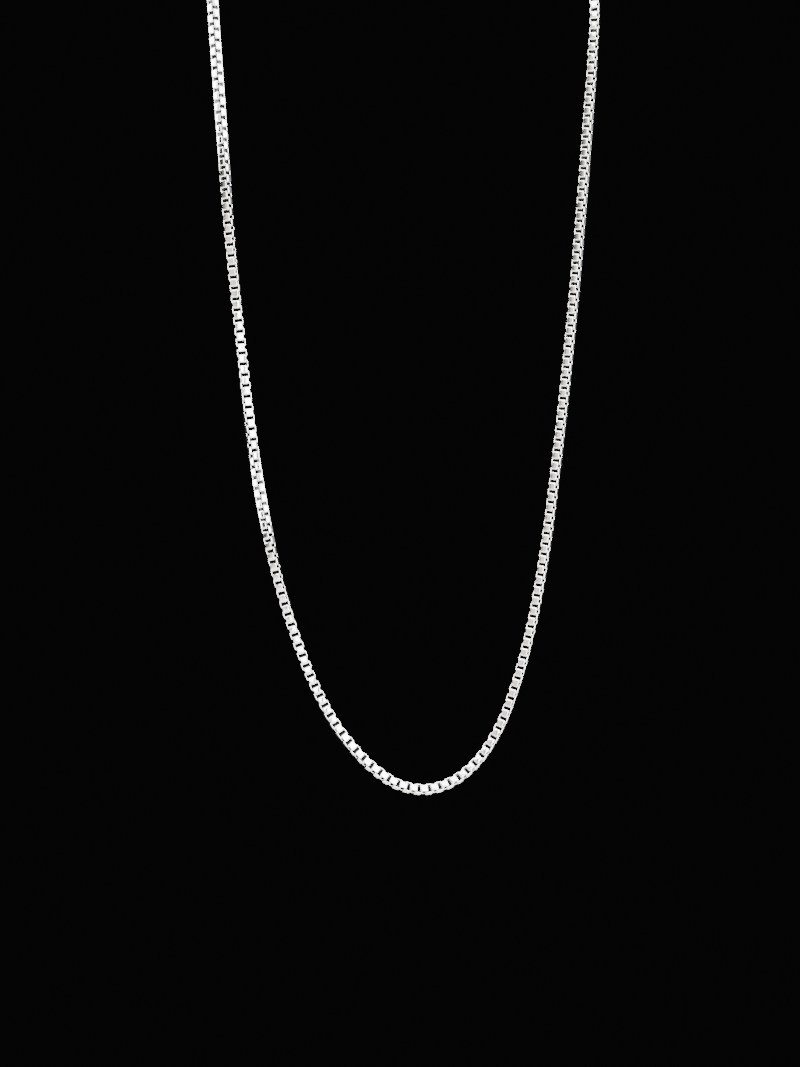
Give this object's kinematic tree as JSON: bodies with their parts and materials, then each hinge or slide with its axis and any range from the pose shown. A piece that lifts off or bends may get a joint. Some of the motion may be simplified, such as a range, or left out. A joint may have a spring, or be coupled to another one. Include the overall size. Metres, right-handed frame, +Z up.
{
  "type": "box chain necklace",
  "caption": "Silver box chain necklace in one closed loop, held as it hangs on a neck, with a plain clasp at the back and an open front loop that can carry a pendant.",
  "frame": {"origin": "on the back of the wearer's neck, where the chain and the middle of its clasp lie on the skin", "axes": "+X to the wearer's left as seen from the front (the picture's right), -Y to the front, +Z up"},
  "size_m": [0.1176, 0.0613, 0.284],
  "materials": {
    "chain_silver": "polished silver strip with fine hairlines",
    "ring_silver": "polished silver wire",
    "clasp_silver": "polished silver casting with fine hairlines"
  },
  "bodies": {
    "root": {"chain": "chain_silver", "end_ring": "ring_silver", "clasp": "clasp_silver", "clasp_ring": "ring_silver"}
  },
  "joints": []
}
